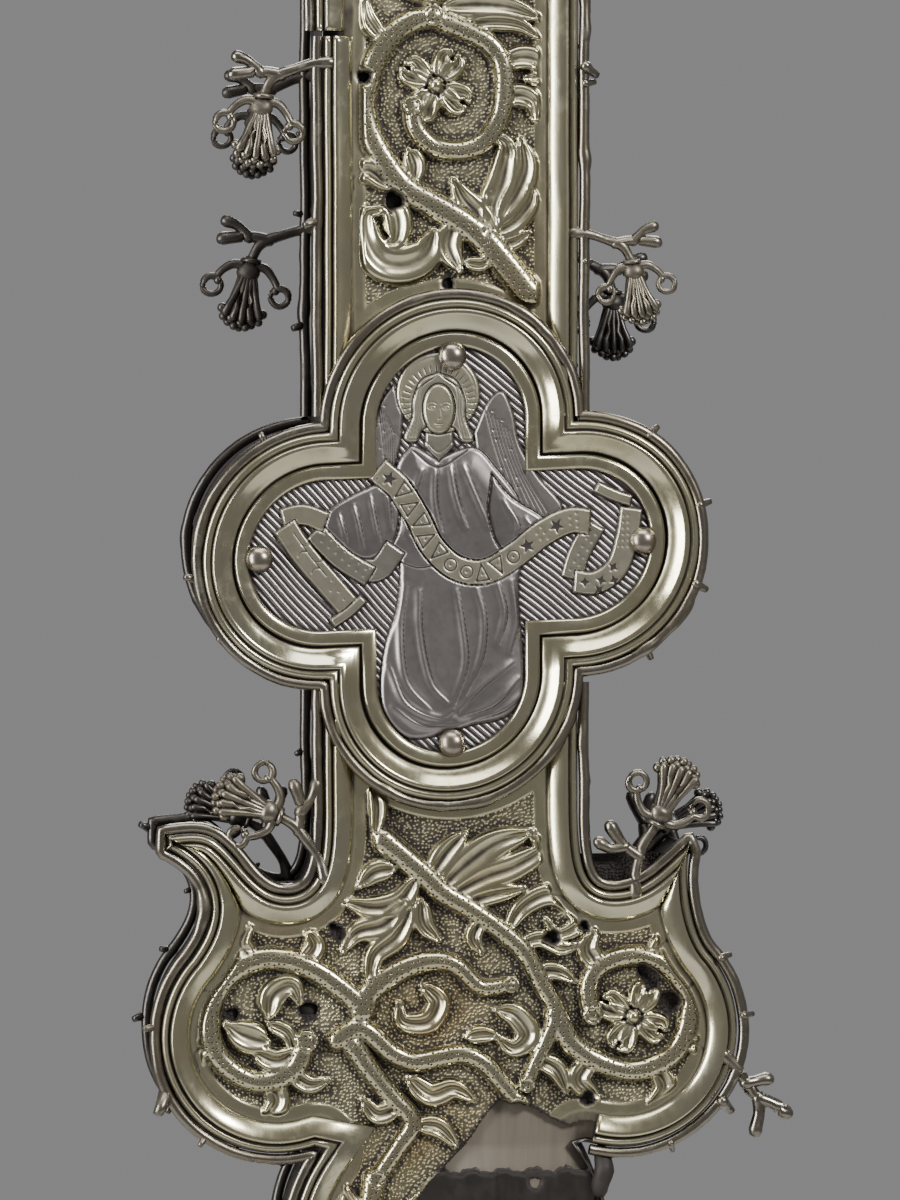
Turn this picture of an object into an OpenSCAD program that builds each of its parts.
// Late Gothic processional cross: a wooden core dressed in silver-gilt plates,
// mouldings and medallions, standing in a knop and staff socket.
// Millimetres. Front face towards -Y, up is +Z, the origin is on the axis of the
// staff socket in the plane of its mouth.

/* [Cross head] */
// Width of an arm's shaft over its mouldings
shaft_w = 48; // [44:1:50]
// Crossing centre to the centre of the lower medallion
lower_reach = 175; // [160:1:200]
// Crossing centre to the centre of each other medallion
arm_reach = 105; // [96:1:125]
// Radius of the round medallion at the crossing
crossing_r = 42; // [38:1:44]
// Front to back thickness of the wooden core
core_t = 16; // [14:1:20]

/* [Metalwork] */
// Thickness of the front and back sheets
sheet_t = 1; // [0.6:0.1:1.4]
// Thickness of the strips that cover the edges
strip_t = 0.8; // [0.6:0.1:1]
// Width of the moulding along each edge
mould_w = 6.5; // [5.5:0.5:7]
// Height of the moulding's bead above the sheet
mould_h = 3; // [2.4:0.2:3.6]
// Thickness of the twig rod along the outer edge
twig_t = 1.4; // [1:0.1:1.6]
// Thickness of a cast crocket
crocket_t = 2.4; // [1.8:0.2:3]

/* [Medallions] */
// Distance from a medallion's centre to the centre of each lobe
lobe_off = 23; // [21:0.5:24]
// Outer radius of a medallion's lobes
lobe_r = 22.8; // [21.5:0.1:23]
// Radius of the engraved field inside the rim
field_r = 13.5; // [12:0.5:14]
// Width of the rim strip round the engraved field
rim_w = 2.8; // [2:0.2:3]
// Diameter of a domed nail head
nail_d = 5; // [4:0.5:5]

/* [Staff socket] */
// Bore for the wooden staff
staff_d = 30; // [26:1:31]
// Depth of the staff bore
staff_depth = 85; // [70:1:86]
// Diameter of the hole for the staff pin
pin_d = 3.2; // [2.5:0.1:4]
// Diameter of the knop across its girdle
knop_d = 78; // [74:1:84]
// Height of the knop
knop_h = 56; // [52:1:58]

/* [Tang] */
// Width of the tang that holds the head
tang_w = 14; // [12:1:16]
// Thickness of the tang
tang_t = 5; // [4:0.5:6]
// Clearance round the tang in its slot
tang_gap = 0.2; // [0.15:0.05:0.3]

/* [Hidden] */
$fn = 64;
core_y = core_t / 2;
sheet_y = core_y + sheet_t;
mould_y = sheet_y + mould_h;
base_h = 1.2;
rim_y = sheet_y + 0.8;                       // top of the engraved plates
rim_h = 0.8;

// Foot of an arm, measured outwards (s) from its medallion's centre
wing_s = 50.9;     // flat end of the wing tips
wing_x = 52.2;
bay_x = 33;        // round bay between shaft and wing
bay_s = 51.6;
bay_r = 9.3;
waist_x = 52;      // small hollow under the wing
waist_s = 64;
waist_r = 8.2;
side_x = 31.5;     // round side lobe
side_s = 87.5;
side_r = 22;
neck_x = 25;       // notch between side and end lobes
end_s = 126;       // round end lobe
end_r = 30;
foot_len = 148;    // flat end of the lower arm
tip_s = 162;       // pointed end of the other arms

wall_t = 3;                                  // socket tube's wall
knop_z = staff_depth + 7;                    // underside of the knop
neck_z = knop_z + knop_h;
seat_z = neck_z + 17;                        // where the head stands
seat_gap = 0.1;
crossing_z = seat_z + seat_gap + foot_len + lower_reach;
tang_z = seat_z - 60;
slot_z = tang_z - 3;
tang_top = seat_z + 26;
nail_reach = lobe_off + field_r - 1.6;
nail_shank = 1.6;
collar_s = 112.5;                            // upper edge of the foot collar
collar_t = 1;

ARMS = [0, 1, 2, 3];                         // lower, right, upper, left

function reach(arm) = arm == 0 ? lower_reach : arm_reach;

// ---------- flat shapes, x across the arm and y outwards from the crossing ----------

// Medallion outline whose lobes have radius r
module quatrefoil(r) {
    for (turn = [0, 90]) rotate(turn) {
        square([2 * r, 2 * lobe_off], center = true);
        for (k = [-1, 1]) translate([0, k * lobe_off]) circle(r);
    }
}

// Foot of an arm, drawn in by d
module foot_shape(d) {
    difference() {
        union() {
            translate([-(wing_x - d), wing_s + d])
                square([2 * (wing_x - d), side_s - wing_s - d]);
            for (k = [-1, 1]) translate([k * side_x, side_s]) circle(side_r - d);
            translate([-(neck_x - d), side_s]) square([2 * (neck_x - d), end_s - side_s]);
            translate([0, end_s]) circle(end_r - d);
        }
        for (k = [-1, 1]) {
            translate([k * bay_x, bay_s]) circle(bay_r + d);
            translate([k * waist_x, waist_s]) circle(waist_r + d);
        }
    }
}

// Whole outline of one arm, drawn in by d. The lower arm ends flat, the others in a point.
module arm_shape(arm, d, medallion = true) {
    translate([-(shaft_w / 2 - d), 0]) square([shaft_w - 2 * d, reach(arm) + wing_s + bay_r]);
    translate([0, reach(arm)]) {
        if (medallion) quatrefoil(lobe_r - d);
        if (arm == 0) difference() {
            foot_shape(d);
            translate([-end_r - 5, foot_len - max(d, 0)]) square([2 * end_r + 10, 30]);
        }
        else {
            foot_shape(d);
            polygon([[-10, 150 - d], [0, tip_s - 1.5 * d], [10, 150 - d]]);
        }
    }
}

// Puts a flat shape on its arm
module on_arm(arm) { rotate(180 + 90 * arm) children(); }

module cross_shape(d) {
    for (arm = ARMS) on_arm(arm) arm_shape(arm, d);
    circle(crossing_r - d);
}

// Straight bar of width w between two points
module bar(p, q, w) {
    v = q - p;
    translate(p) rotate(atan2(v[1], v[0])) translate([0, -w / 2]) square([norm(v), w]);
}

// ---------- placing flat shapes in the cross ----------

// A layer from y = -near to y = -far, so a positive distance is in front of the core
module layer(near, far) {
    translate([0, 0, crossing_z]) rotate([90, 0, 0]) translate([0, 0, near])
        linear_extrude(far - near) children();
}

// The same on the front (side = 1) or on the back (side = -1)
module on_face(side, near, far) {
    if (side > 0) layer(near, far) children();
    else layer(-far, -near) children();
}

// Holes for the shanks of a medallion's four nails
module nail_holes(arm) {
    on_arm(arm) translate([0, reach(arm)])
        for (turn = [0:90:270]) rotate(turn) translate([0, nail_reach]) circle(d = nail_shank);
}

module crossing_nail_holes() {
    for (turn = [45:90:315]) rotate(turn) translate([0, crossing_r - 11]) circle(d = nail_shank);
}

// ---------- wooden core ----------

// Part of the lowest lobe that the foot collar wraps
module collar_zone() {
    translate([-end_r - 5, -lower_reach - foot_len - 1])
        square([2 * end_r + 10, foot_len + 1 - collar_s]);
}

// Room in the core for the foot collar, the tang and its rivets
module core_cuts() {
    for (side = [-1, 1]) on_face(side, core_y - collar_t, core_y + 1) collar_zone();
    tang_bar();
    tang_rivet_shapes();
}

module core_beam(arms, bridge_side) {
    other = -bridge_side;
    difference() {
        union() {
            on_face(bridge_side, 0, core_y) {
                for (arm = arms) on_arm(arm) arm_shape(arm, strip_t);
                circle(crossing_r - strip_t);
            }
            on_face(other, 0, core_y) difference() {
                for (arm = arms) on_arm(arm) arm_shape(arm, strip_t);
                circle(crossing_r - strip_t);
            }
        }
        for (side = [-1, 1]) on_face(side, core_y - 5, core_y + 1) {
            for (arm = arms) nail_holes(arm);
        }
        on_face(bridge_side, core_y - 5, core_y + 1) crossing_nail_holes();
    }
}

module core_upright() {
    color("tan") difference() {
        core_beam([0, 2], -1);
        core_cuts();
    }
}

module core_crossbar() { color("burlywood") core_beam([1, 3], 1); }

// ---------- sheets, strips and mouldings ----------

// Raised scroll of the vine on an arm's sheet
module vine_ring(r, w) { difference() { circle(r + w / 2); circle(r - w / 2); } }

module arm_plate(arm, side) {
    color([0.60, 0.57, 0.42]) {
        on_face(side, core_y, sheet_y) difference() {
            on_arm(arm) arm_shape(arm, strip_t);
            circle(crossing_r - strip_t);
            nail_holes(arm);
        }
        on_face(side, sheet_y, sheet_y + 1) on_arm(arm) translate([0, reach(arm)]) {
            for (k = [-1, 1]) translate([k * 33.7, 85.5]) vine_ring(9, 3);
            if (arm == 0) translate([0, -83]) vine_ring(10, 3);
        }
    }
}

// Stepped moulding: a base, a bead outside and a band inside
module moulding_ring(arm, d_out, d_in) {
    difference() {
        on_arm(arm) arm_shape(arm, d_out, false);
        on_arm(arm) arm_shape(arm, d_in, false);
        on_arm(arm) translate([0, reach(arm)]) quatrefoil(lobe_r);
        circle(crossing_r);
    }
}

module arm_moulding(arm, side) {
    color([0.66, 0.63, 0.50]) {
        on_face(side, sheet_y, sheet_y + base_h) moulding_ring(arm, 0, mould_w);
        on_face(side, sheet_y + base_h, mould_y) moulding_ring(arm, 0.9, 2.7);
        on_face(side, sheet_y + base_h, mould_y - 0.8) moulding_ring(arm, 3.2, mould_w - 0.4);
    }
}

module arm_strips(arm) {
    color([0.30, 0.28, 0.25]) difference() {
        layer(-sheet_y, sheet_y) difference() {
            on_arm(arm) arm_shape(arm, 0);
            on_arm(arm) arm_shape(arm, strip_t);
            circle(crossing_r);
        }
        if (arm == 0) tang_bar();
    }
}

module crossing_strips() {
    color([0.30, 0.28, 0.25]) layer(-sheet_y, sheet_y) difference() {
        circle(crossing_r);
        circle(crossing_r - strip_t);
        for (arm = ARMS) on_arm(arm) arm_shape(arm, strip_t, false);
    }
}

module twig_rod(side) {
    color([0.36, 0.34, 0.29]) on_face(side, mould_y - 1 - twig_t, mould_y - 1) difference() {
        cross_shape(-0.9);
        cross_shape(0);
        translate([-end_r, -lower_reach - foot_len - 5]) square([2 * end_r, 5]);
    }
}

// ---------- medallions ----------

module medallion_plate(arm, side) {
    color([0.45, 0.43, 0.42]) on_face(side, sheet_y, rim_y) difference() {
        on_arm(arm) translate([0, reach(arm)]) quatrefoil(field_r + rim_w);
        nail_holes(arm);
    }
}

module medallion_rim(arm, side) {
    color([0.72, 0.69, 0.55]) on_face(side, rim_y, rim_y + rim_h) difference() {
        on_arm(arm) translate([0, reach(arm)]) difference() {
            quatrefoil(field_r + rim_w);
            quatrefoil(field_r);
        }
        nail_holes(arm);
    }
}

module medallion_frame(arm, side) {
    inner = field_r + rim_w + 0.3;
    color([0.66, 0.63, 0.50]) {
        on_face(side, sheet_y, sheet_y + base_h + 0.4) on_arm(arm) translate([0, reach(arm)])
            difference() { quatrefoil(lobe_r); quatrefoil(inner); }
        on_face(side, sheet_y + base_h + 0.4, mould_y + 0.4) on_arm(arm)
            translate([0, reach(arm)])
            difference() { quatrefoil(lobe_r - 0.9); quatrefoil(lobe_r - 2.4); }
        on_face(side, sheet_y + base_h + 0.4, mould_y - 0.4) on_arm(arm)
            translate([0, reach(arm)])
            difference() { quatrefoil(lobe_r - 2.9); quatrefoil(inner + 0.4); }
    }
}

// Domed nail with its shank; the dome starts at seat_y
module nail(side, seat_y) {
    rotate([side > 0 ? 90 : -90, 0, 0]) {
        translate([0, 0, core_y - 4.5]) cylinder(d = nail_shank, h = seat_y - core_y + 4.6, $fn = 24);
        translate([0, 0, seat_y]) intersection() {
            sphere(d = nail_d, $fn = 32);
            cylinder(d = nail_d * 1.2, h = nail_d * 0.42, $fn = 32);
        }
    }
}

module nails(side) {
    color([0.48, 0.45, 0.40]) translate([0, 0, crossing_z]) {
        for (arm = ARMS) rotate([0, -(180 + 90 * arm), 0]) translate([0, 0, reach(arm)])
            for (turn = [0:90:270]) rotate([0, turn, 0]) translate([0, 0, nail_reach])
                nail(side, rim_y + rim_h);
        for (turn = [45:90:315]) rotate([0, turn, 0]) translate([0, 0, crossing_r - 11])
            nail(side, rim_y);
    }
}

// ---------- crossing ----------

module crossing_plate(side) {
    color([0.50, 0.48, 0.44]) {
        on_face(side, core_y, sheet_y) difference() {
            circle(crossing_r - strip_t);
            crossing_nail_holes();
        }
        on_face(side, sheet_y, rim_y) difference() {
            circle(crossing_r - 8);
            crossing_nail_holes();
        }
    }
}

module crossing_frame(side) {
    color([0.66, 0.63, 0.50]) {
        on_face(side, sheet_y, sheet_y + base_h + 0.4)
            difference() { circle(crossing_r); circle(crossing_r - 7.5); }
        on_face(side, sheet_y + base_h + 0.4, mould_y + 0.4)
            difference() { circle(crossing_r - 0.9); circle(crossing_r - 2.7); }
        on_face(side, sheet_y + base_h + 0.4, mould_y - 0.4)
            difference() { circle(crossing_r - 3.4); circle(crossing_r - 7.1); }
    }
}

// Eight-petalled rosette with a domed heart
module crossing_rosette(side) {
    petals = 8;
    color([0.70, 0.66, 0.48]) {
        on_face(side, rim_y, rim_y + 1.2) {
            for (k = [0:petals - 1]) rotate(k * 360 / petals) translate([0, 12.5]) circle(5.4);
            circle(12);
        }
        translate([0, 0, crossing_z]) rotate([side > 0 ? 90 : -90, 0, 0])
            translate([0, 0, rim_y + 1.2]) intersection() {
                translate([0, 0, -5]) sphere(r = 8.5, $fn = 48);
                cylinder(r = 8, h = 6, $fn = 48);
            }
    }
}

// ---------- crockets ----------

// Thistle sprig that grows along +y from its root
module crocket_shape() {
    bar([0, -2.5], [1.5, 6], 2.2);
    bar([1.5, 5.4], [0, 12.5], 2);
    bar([1.4, 5.6], [6, 9.5], 1.8);
    polygon([[-1.6, 11.5], [1.6, 11.5], [4.2, 20.5], [2.1, 21.6], [0, 21], [-2.1, 21.6],
             [-4.2, 20.5]]);
    for (k = [-1, 1]) {
        bar([0, 12], [k * 4, 13.2], 1.5);
        translate([k * 5.6, 13.6]) difference() { circle(2.3); circle(1.1); }
    }
}

// Root [x, s] on the arm, direction in degrees from outwards, and 1 or -1 to mirror
function notch_roots(arm) =
    [for (k = [-1, 1]) [k * 32, wing_s + bay_r - 1, 180 - k * 8, k]];
function lobe_roots(arm) =
    [for (k = [-1, 1]) [k * (side_x + (side_r + 0.4) * cos(25)),
                        side_s + (side_r + 0.4) * sin(25), -k * 52, k]];
function shaft_roots(arm) =
    [for (k = [-1, 1], s = [-88, -56]) [k * (shaft_w / 2 + 0.4), s, -k * 75, k]];
function tip_roots(arm) = [[0, tip_s + 0.8, 0, 1]];
function roots(arm) = concat(notch_roots(arm), lobe_roots(arm),
                             arm == 0 ? shaft_roots(arm) : tip_roots(arm));

module crockets(side) {
    color([0.40, 0.38, 0.32]) on_face(side, mould_y - 0.6 - crocket_t, mould_y - 0.6) difference() {
        for (arm = ARMS) on_arm(arm) translate([0, reach(arm)])
            for (root = roots(arm)) translate([root[0], root[1]]) rotate(root[2])
                scale([root[3], 1]) crocket_shape();
        cross_shape(-0.9);
    }
}

// ---------- foot and tang ----------

// Dark silver collar plates let into the core at the lowest lobe, with nail holes
module foot_collar() {
    color([0.33, 0.32, 0.30])
        for (side = [-1, 1]) on_face(side, core_y - collar_t, core_y) difference() {
            intersection() {
                on_arm(0) arm_shape(0, strip_t);
                collar_zone();
            }
            for (k = [-1, 1])
                translate([k * 15.7, -lower_reach - collar_s - 2.7]) circle(d = nail_shank);
        }
}

module tang_bar() {
    translate([-tang_w / 2, -tang_t / 2, tang_z]) cube([tang_w, tang_t, tang_top - tang_z]);
}

module tang_rivet_shapes() {
    for (z = [seat_z + 8, seat_z + 19]) translate([0, 0, z]) rotate([90, 0, 0])
        cylinder(d = 3, h = core_t - 2 * collar_t, center = true);
}

module tang() {
    color("dimgray") difference() {
        tang_bar();
        tang_rivet_shapes();
    }
}

module tang_rivets() { color("silver") tang_rivet_shapes(); }

// ---------- knop and socket ----------

module socket_tube() {
    r = staff_d / 2;
    color([0.62, 0.59, 0.46]) difference() {
        cylinder(r = r + wall_t, h = knop_z);
        translate([0, 0, -1]) cylinder(r = r, h = staff_depth + 1);
        translate([0, 0, 22]) rotate([90, 0, 0]) cylinder(d = pin_d, h = 3 * r, center = true);
    }
}

// Moulded ring round the socket tube, half-round outside
module tube_ring(z, h, proud) {
    r = staff_d / 2 + wall_t;
    color([0.70, 0.67, 0.52]) translate([0, 0, z]) rotate_extrude() difference() {
        union() {
            translate([r, 0]) square([proud * 0.6, h]);
            translate([r + proud * 0.6, h / 2]) circle(proud * 0.4 + h / 5, $fn = 32);
        }
        translate([0, -h]) square([r, 3 * h]);
        translate([0, -h]) square([3 * r, h]);
        translate([0, h]) square([3 * r, h]);
    }
}

module socket_mouth_ring() { tube_ring(0, 7, 4); }
module socket_band() { tube_ring(50, 6, 3); }

// Half of the knop's profile as an arc from the neck to the girdle
function knop_arc(r_in, r_out, h, steps) =
    [for (k = [0:steps]) let (a = 90 * k / steps)
        [r_in + (r_out - r_in) * sin(a), h * (1 - cos(a))]];

module knop_shell() {
    wall = 1.5;
    half = knop_h / 2 - 4;
    outer = knop_arc(staff_d / 2 + wall_t, knop_d / 2 - 1, half, 12);
    inner = knop_arc(staff_d / 2 + wall_t, knop_d / 2 - 1 - wall, half - wall, 12);
    rotate_extrude($fn = 96) polygon(concat(outer,
        [for (k = [len(inner) - 1:-1:0]) inner[k] + [0, wall]]));
}

module knop_lower_shell() { color([0.62, 0.59, 0.46]) translate([0, 0, knop_z]) knop_shell(); }

module knop_upper_shell() {
    color([0.62, 0.59, 0.46]) translate([0, 0, neck_z]) mirror([0, 0, 1]) knop_shell();
}

module knop_girdle() {
    color([0.70, 0.67, 0.52]) translate([0, 0, knop_z + knop_h / 2 - 4]) rotate_extrude($fn = 96)
        polygon([[knop_d / 2 - 4, 0], [knop_d / 2 - 0.6, 0], [knop_d / 2, 1.5],
                 [knop_d / 2, 6.5], [knop_d / 2 - 0.6, 8], [knop_d / 2 - 4, 8]]);
}

// Round enamelled bosses that stand out from the girdle
module knop_bosses() {
    count = 8;
    color([0.30, 0.33, 0.42]) difference() {
        for (k = [0:count - 1]) translate([0, 0, knop_z + knop_h / 2]) rotate([0, 90, 45 * k])
            cylinder(d = 12, h = knop_d / 2 + 5, $fn = 48);
        translate([0, 0, knop_z + knop_h / 2 - 7]) cylinder(r = knop_d / 2, h = 14, $fn = 96);
    }
}

// Slotted tube inside the knop that takes the tang
module knop_tube() {
    color([0.55, 0.52, 0.42]) difference() {
        translate([0, 0, knop_z]) cylinder(r = 11, h = seat_z - 2 - knop_z);
        tang_slot();
    }
}

module tang_slot() {
    translate([-tang_w / 2 - tang_gap, -tang_t / 2 - tang_gap, slot_z])
        cube([tang_w + 2 * tang_gap, tang_t + 2 * tang_gap, seat_z + 1 - slot_z]);
}

// Flared neck between the knop and the head, with the flat seat that the head stands on
module neck_collar() {
    color([0.66, 0.63, 0.50]) difference() {
        translate([0, 0, neck_z]) rotate_extrude() polygon(concat(
            [[11, 0], [staff_d / 2 + wall_t, 0]],
            [for (a = [0:15:90]) [24 - 6 * cos(a), 3 + 12 * sin(a)]],
            [[24, 15], [24, 17], [0, 17], [0, 15], [11, 15]]));
        tang_slot();
    }
}

socket_tube();
socket_mouth_ring();
socket_band();
knop_lower_shell();
knop_upper_shell();
knop_girdle();
knop_bosses();
knop_tube();
neck_collar();
core_upright();
core_crossbar();
tang();
tang_rivets();
foot_collar();
arm_plate(0, 1);  // front_plate_lower
arm_plate(1, 1);  // front_plate_right
arm_plate(2, 1);  // front_plate_upper
arm_plate(3, 1);  // front_plate_left
arm_plate(0, -1);  // back_plate_lower
arm_plate(1, -1);  // back_plate_right
arm_plate(2, -1);  // back_plate_upper
arm_plate(3, -1);  // back_plate_left
arm_moulding(0, 1);  // front_moulding_lower
arm_moulding(1, 1);  // front_moulding_right
arm_moulding(2, 1);  // front_moulding_upper
arm_moulding(3, 1);  // front_moulding_left
arm_moulding(0, -1);  // back_moulding_lower
arm_moulding(1, -1);  // back_moulding_right
arm_moulding(2, -1);  // back_moulding_upper
arm_moulding(3, -1);  // back_moulding_left
arm_strips(0);  // side_strips_lower
arm_strips(1);  // side_strips_right
arm_strips(2);  // side_strips_upper
arm_strips(3);  // side_strips_left
medallion_plate(0, 1);  // medallion_plate_lower
medallion_plate(1, 1);  // medallion_plate_right
medallion_plate(2, 1);  // medallion_plate_upper
medallion_plate(3, 1);  // medallion_plate_left
medallion_frame(0, 1);  // medallion_frame_lower
medallion_frame(1, 1);  // medallion_frame_right
medallion_frame(2, 1);  // medallion_frame_upper
medallion_frame(3, 1);  // medallion_frame_left
for (arm = ARMS) medallion_rim(arm, 1);  // medallion_rims
for (arm = ARMS) medallion_plate(arm, -1);  // back_medallion_plates
for (arm = ARMS) medallion_frame(arm, -1);  // back_medallion_frames
for (arm = ARMS) medallion_rim(arm, -1);  // back_medallion_rims
crossing_plate(1);  // crossing_plate_front
crossing_frame(1);  // crossing_frame_front
crossing_rosette(1);  // crossing_rosette_front
crossing_plate(-1);  // crossing_plate_back
crossing_frame(-1);  // crossing_frame_back
crossing_rosette(-1);  // crossing_rosette_back
crossing_strips();
twig_rod(1);  // twig_rod_front
twig_rod(-1);  // twig_rod_back
nails(1);  // front_nails
nails(-1);  // back_nails
crockets(1);  // crockets_front
crockets(-1);  // crockets_back
